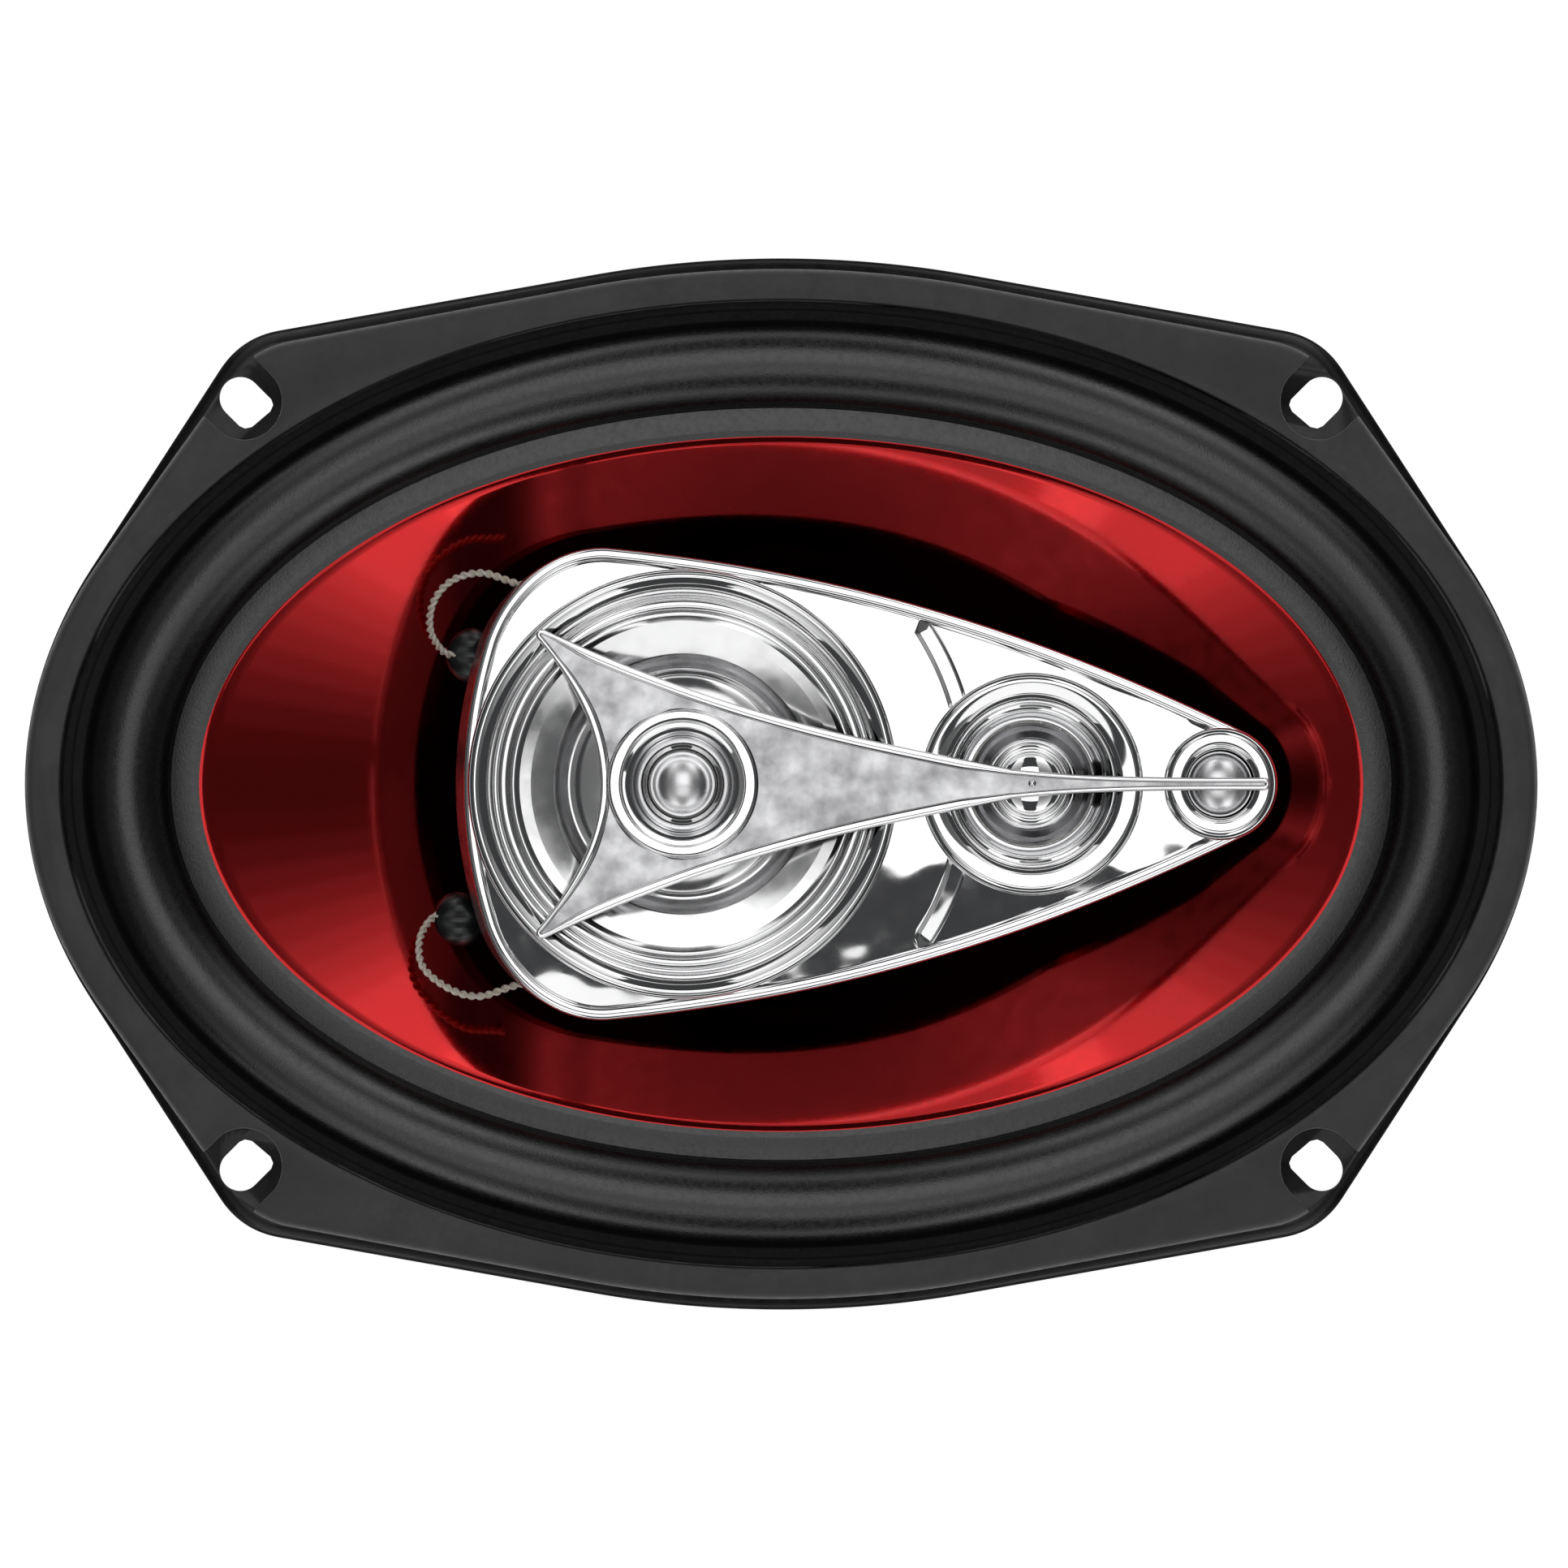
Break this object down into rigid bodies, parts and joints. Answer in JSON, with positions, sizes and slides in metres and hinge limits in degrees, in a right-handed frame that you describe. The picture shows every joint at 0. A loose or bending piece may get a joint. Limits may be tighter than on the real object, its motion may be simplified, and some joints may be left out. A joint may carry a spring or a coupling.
{
  "type": "coaxial car speaker",
  "caption": "Oval coaxial car speaker with a glossy cone, rubber surround, pressed basket, motor, and a chromed bridge housing with a midrange and small tweeters.",
  "frame": {"origin": "centre of the motor's flat back face, under the middle of the object's box", "axes": "+Z along the speaker axis towards the listener, +X along the long side of the oval towards the super tweeter, +Y across"},
  "size_m": [0.235, 0.1632, 0.0896],
  "materials": {
    "black_steel": "gloss black powder coat",
    "gasket": "moulded charcoal, fine grain",
    "surround_rubber": "satin black, fine grain",
    "red_cone": "metallised red, mirror gloss",
    "chrome_plastic": "chrome plated plastic",
    "zinc_steel": "zinc plated steel",
    "ferrite": "matt dark ferrite",
    "copper": "enamelled copper wire",
    "kapton": "translucent amber polyimide",
    "spider_cloth": "resin-stiffened woven cloth",
    "black_plastic": "moulded black",
    "silver_foil": "metallised film, bright",
    "dark_foil": "metallised film, dark",
    "adhesive": "cured glossy black adhesive",
    "braid": "twisted tinsel and textile braid",
    "phenolic": "brown phenolic board",
    "tinned": "tinned brass tab",
    "capacitor_sleeve": "blue shrink sleeve",
    "wire_red": "red insulated wire"
  },
  "bodies": {
    "frame": {"basket": "black_steel", "front_gasket": "gasket", "yoke": "zinc_steel", "magnet": "ferrite", "top_plate": "zinc_steel", "centre_column": "black_plastic", "column_bolt": "zinc_steel", "column_nut": "zinc_steel", "surround": "surround_rubber", "spider": "spider_cloth", "front_lead_upper": "braid", "front_lead_lower": "braid", "rear_lead_upper": "braid", "rear_lead_lower": "braid", "terminal_board": "phenolic", "terminal_positive": "tinned", "terminal_negative": "tinned", "terminal_rivet_1": "tinned", "terminal_rivet_2": "tinned", "housing_shell": "chrome_plastic", "housing_base": "black_plastic", "bridge": "chrome_plastic", "midrange_capacitor": "capacitor_sleeve", "tweeter_capacitor": "capacitor_sleeve", "tweeter_wire_positive": "wire_red", "tweeter_wire_negative": "wire_red", "mid_trim_ring": "chrome_plastic", "mid_frame": "zinc_steel", "mid_yoke": "zinc_steel", "mid_magnet": "ferrite", "mid_top_plate": "zinc_steel", "mid_surround": "silver_foil", "dome_tweeter_cup": "chrome_plastic", "dome_tweeter_magnet": "zinc_steel", "tweeter_trim_ring": "chrome_plastic", "tweeter_horn": "chrome_plastic", "tweeter_yoke": "zinc_steel", "tweeter_magnet": "ferrite", "tweeter_top_plate": "zinc_steel", "super_tweeter_ring": "chrome_plastic", "super_tweeter_cup": "black_plastic", "super_tweeter_magnet": "zinc_steel"},
    "woofer": {"cone": "red_cone", "voice_coil_former": "kapton", "voice_coil": "copper", "dust_ring": "surround_rubber", "lead_dab_upper": "adhesive", "lead_dab_lower": "adhesive"},
    "midrange": {"mid_cone": "silver_foil", "mid_voice_coil": "copper", "mid_dust_cap": "silver_foil"},
    "dome_tweeter": {"dome_tweeter_dome": "chrome_plastic"},
    "tweeter": {"tweeter_diaphragm": "dark_foil", "tweeter_voice_coil": "copper"},
    "super_tweeter": {"super_tweeter_dome": "chrome_plastic"}
  },
  "joints": [
    {"name": "woofer_excursion", "type": "slide", "parent": "frame", "child": "woofer", "axis": [0, 0, 1], "range_m": [-0.003, 0.003], "stiffness_N_per_m": 3000, "deforming": ["surround", "spider", "front_lead_upper", "front_lead_lower", "rear_lead_upper", "rear_lead_lower"]},
    {"name": "midrange_excursion", "type": "slide", "parent": "frame", "child": "midrange", "axis": [0, 0, 1], "range_m": [-0.0005, 0.0005], "stiffness_N_per_m": 200, "deforming": ["mid_surround"]},
    {"name": "dome_tweeter_excursion", "type": "slide", "parent": "frame", "child": "dome_tweeter", "axis": [0, 0, 1], "range_m": [-0.0002, 0.0002], "stiffness_N_per_m": 40},
    {"name": "tweeter_excursion", "type": "slide", "parent": "frame", "child": "tweeter", "axis": [0, 0, 1], "range_m": [-0.0003, 0.0003], "stiffness_N_per_m": 60},
    {"name": "super_tweeter_excursion", "type": "slide", "parent": "frame", "child": "super_tweeter", "axis": [0, 0, 1], "range_m": [-0.0002, 0.0002], "stiffness_N_per_m": 40}
  ]
}
